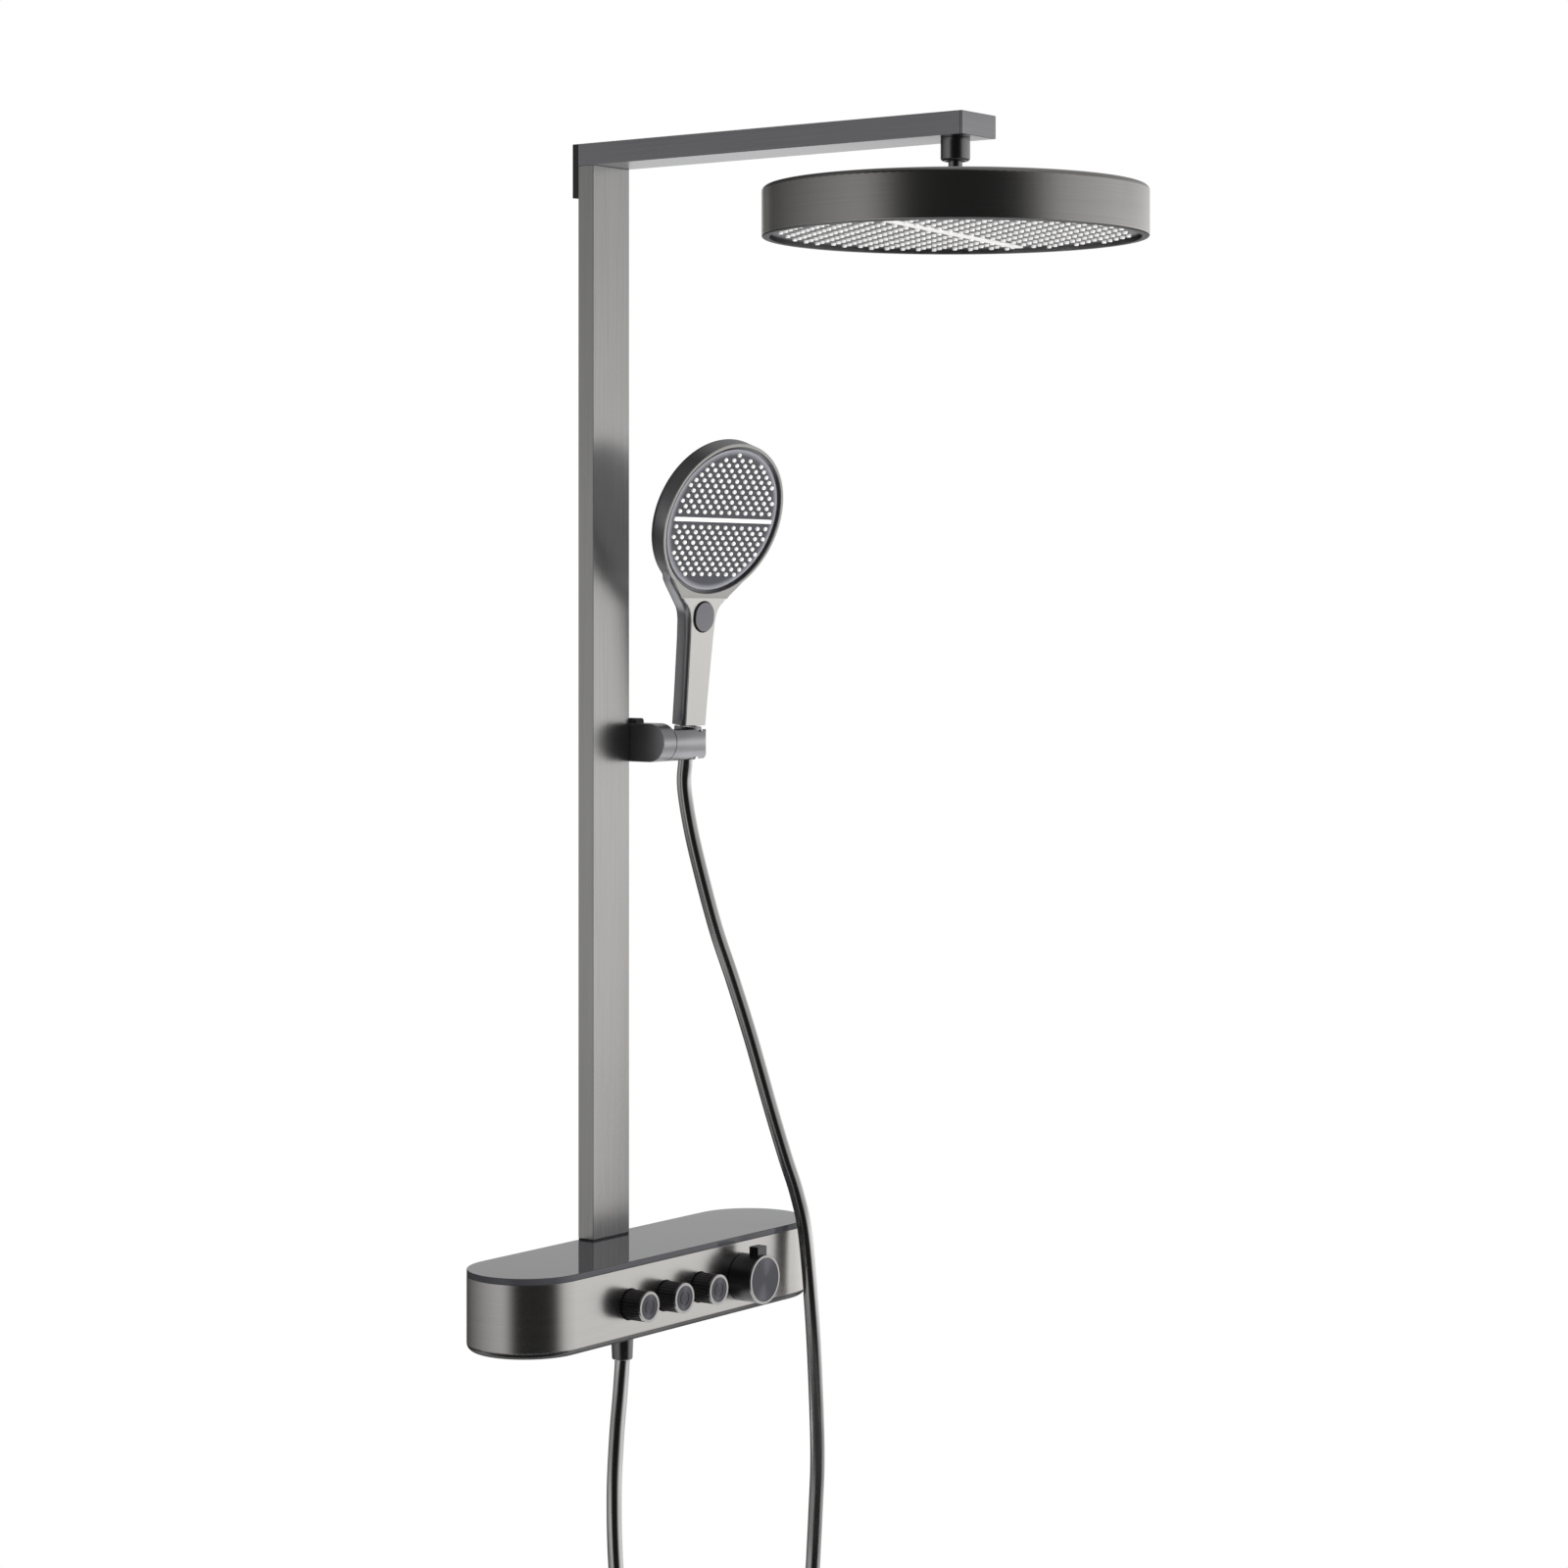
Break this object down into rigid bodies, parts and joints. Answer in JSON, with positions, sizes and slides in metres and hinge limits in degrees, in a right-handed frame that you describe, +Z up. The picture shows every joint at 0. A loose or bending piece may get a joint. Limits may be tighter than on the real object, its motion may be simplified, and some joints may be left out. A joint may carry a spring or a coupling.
{
  "type": "rainfall shower column",
  "caption": "Wall-held thermostatic shower shelf with a flat riser column, an overhead rain shower on a swivel arm, and a sliding, tilting hand shower on a flexible hose.",
  "frame": {"origin": "on the finished wall plane, midway between the hot and cold inlets", "axes": "+X right along the wall as seen from the room, +Y into the wall, +Z up"},
  "size_m": [0.384, 0.531, 1.4321],
  "materials": {
    "brushed_gunmetal": "brushed gun-metal grey, satin",
    "smoked_glass": "smoked grey toughened glass, polished",
    "black_trim": "matt black moulding",
    "black_metal": "satin black powder coat",
    "valve_brass": "as cast and machined",
    "copper_pipe": "drawn copper, unpolished",
    "chrome_fittings": "bright chrome",
    "ceramic_cartridge": "moulded cartridge housing",
    "soft_nozzles": "white silicone",
    "hose_skin": "smooth metallic grey, glossy",
    "nut_metal": "brushed gun-metal plating",
    "plated_plastic": "dark gun-metal plating, satin",
    "plated_front": "light brushed gun-metal plating",
    "spray_face": "grey satin plastic",
    "holder_metal": "gun-metal grey, satin",
    "low_friction": "natural acetal",
    "dark_fastener": "blackened steel"
  },
  "bodies": {
    "shower_frame": {"shelf_shell": "brushed_gunmetal", "shelf_glass": "smoked_glass", "glass_tray": "black_trim", "valve_body": "valve_brass", "thermostatic_cartridge": "ceramic_cartridge", "flow_cartridge_1": "ceramic_cartridge", "flow_cartridge_2": "ceramic_cartridge", "flow_cartridge_3": "ceramic_cartridge", "inlet_unions": "chrome_fittings", "union_nuts": "chrome_fittings", "wall_flanges": "brushed_gunmetal", "hose_outlet_nipple": "chrome_fittings", "lower_hose_nut": "nut_metal", "hose": "hose_skin", "column_tube": "brushed_gunmetal", "column_gasket": "black_trim", "riser_tube": "copper_pipe", "column_foot": "valve_brass", "wall_bracket": "black_metal", "arm_grub_screws": "dark_fastener", "arm_tube": "brushed_gunmetal", "arm_end_cap": "brushed_gunmetal", "arm_elbow": "valve_brass", "arm_water_pipe": "copper_pipe", "swivel_collar": "nut_metal"},
    "ball_seat": {"ball_seat": "low_friction"},
    "overhead_head": {"ball_neck": "nut_metal", "head_shell": "brushed_gunmetal", "head_spray_plate": "brushed_gunmetal", "head_nozzles": "soft_nozzles", "head_waterfall_strip": "soft_nozzles"},
    "flow_stem_1": {"flow_stem_1": "chrome_fittings"},
    "flow_knob_1": {"flow_knob_1": "nut_metal", "flow_cap_1": "brushed_gunmetal"},
    "flow_stem_2": {"flow_stem_2": "chrome_fittings"},
    "flow_knob_2": {"flow_knob_2": "nut_metal", "flow_cap_2": "brushed_gunmetal"},
    "flow_stem_3": {"flow_stem_3": "chrome_fittings"},
    "flow_knob_3": {"flow_knob_3": "nut_metal", "flow_cap_3": "brushed_gunmetal"},
    "temperature_knob": {"temperature_stem": "chrome_fittings", "temperature_knob": "nut_metal", "temperature_cap": "brushed_gunmetal"},
    "holder_slider": {"holder_arm": "holder_metal", "holder_foot": "low_friction", "pivot_screw": "chrome_fittings"},
    "release_tab": {"release_tab": "black_trim"},
    "cradle": {"cradle": "holder_metal", "cradle_liner": "low_friction"},
    "hose_cone": {"upper_hose_nut": "nut_metal"},
    "handset": {"handset_body": "plated_plastic", "handset_front": "plated_front", "handset_spray_plate": "spray_face", "handset_nozzles": "soft_nozzles", "handset_jet_strip": "soft_nozzles", "handset_connector": "chrome_fittings"},
    "mode_button": {"handset_button": "plated_front"}
  },
  "joints": [
    {"name": "head_turn", "type": "hinge", "parent": "shower_frame", "child": "ball_seat", "pos_m": [0, -0.366, 0.9095], "axis": [0, 0, 1], "range_deg": [-180, 180]},
    {"name": "head_tilt", "type": "hinge", "parent": "ball_seat", "child": "overhead_head", "pos_m": [0, -0.366, 0.9095], "axis": [1, 0, 0], "range_deg": [-12, 12]},
    {"name": "flow_turn_1", "type": "hinge", "parent": "shower_frame", "child": "flow_stem_1", "pos_m": [-0.076, -0.1, 0], "axis": [0, -1, 0], "range_deg": [0, 90]},
    {"name": "flow_push_1", "type": "slide", "parent": "flow_stem_1", "child": "flow_knob_1", "axis": [0, 1, 0], "range_m": [0, 0.003], "stiffness_N_per_m": 1500},
    {"name": "flow_turn_2", "type": "hinge", "parent": "shower_frame", "child": "flow_stem_2", "pos_m": [-0.031, -0.1, 0], "axis": [0, -1, 0], "range_deg": [0, 90]},
    {"name": "flow_push_2", "type": "slide", "parent": "flow_stem_2", "child": "flow_knob_2", "axis": [0, 1, 0], "range_m": [0, 0.003], "stiffness_N_per_m": 1500},
    {"name": "flow_turn_3", "type": "hinge", "parent": "shower_frame", "child": "flow_stem_3", "pos_m": [0.014, -0.1, 0], "axis": [0, -1, 0], "range_deg": [0, 90]},
    {"name": "flow_push_3", "type": "slide", "parent": "flow_stem_3", "child": "flow_knob_3", "axis": [0, 1, 0], "range_m": [0, 0.003], "stiffness_N_per_m": 1500},
    {"name": "temperature_turn", "type": "hinge", "parent": "shower_frame", "child": "temperature_knob", "pos_m": [0.071, -0.1, 0], "axis": [0, -1, 0], "range_deg": [-120, 120]},
    {"name": "holder_slide", "type": "slide", "parent": "shower_frame", "child": "holder_slider", "axis": [0, 0, 1], "range_m": [-0.3, 0.17], "deforming": ["hose"]},
    {"name": "release_push", "type": "slide", "parent": "holder_slider", "child": "release_tab", "axis": [0, 0, -1], "range_m": [0, 0.0025], "stiffness_N_per_m": 800},
    {"name": "cradle_tilt", "type": "hinge", "parent": "holder_slider", "child": "cradle", "pos_m": [0.05, -0.0425, 0.443], "axis": [1, 0, 0], "range_deg": [0, 30]},
    {"name": "cone_lift", "type": "slide", "parent": "cradle", "child": "hose_cone", "axis": [0, -0.0924, 0.9957], "range_m": [0, 0.026]},
    {"name": "handset_turn", "type": "hinge", "parent": "hose_cone", "child": "handset", "pos_m": [0.075, -0.0425, 0.443], "axis": [0, -0.0924, 0.9957], "range_deg": [-25, 25]},
    {"name": "mode_press", "type": "slide", "parent": "handset", "child": "mode_button", "axis": [0.1219, 0.9883, 0.0917], "range_m": [0, 0.0025], "stiffness_N_per_m": 400}
  ]
}
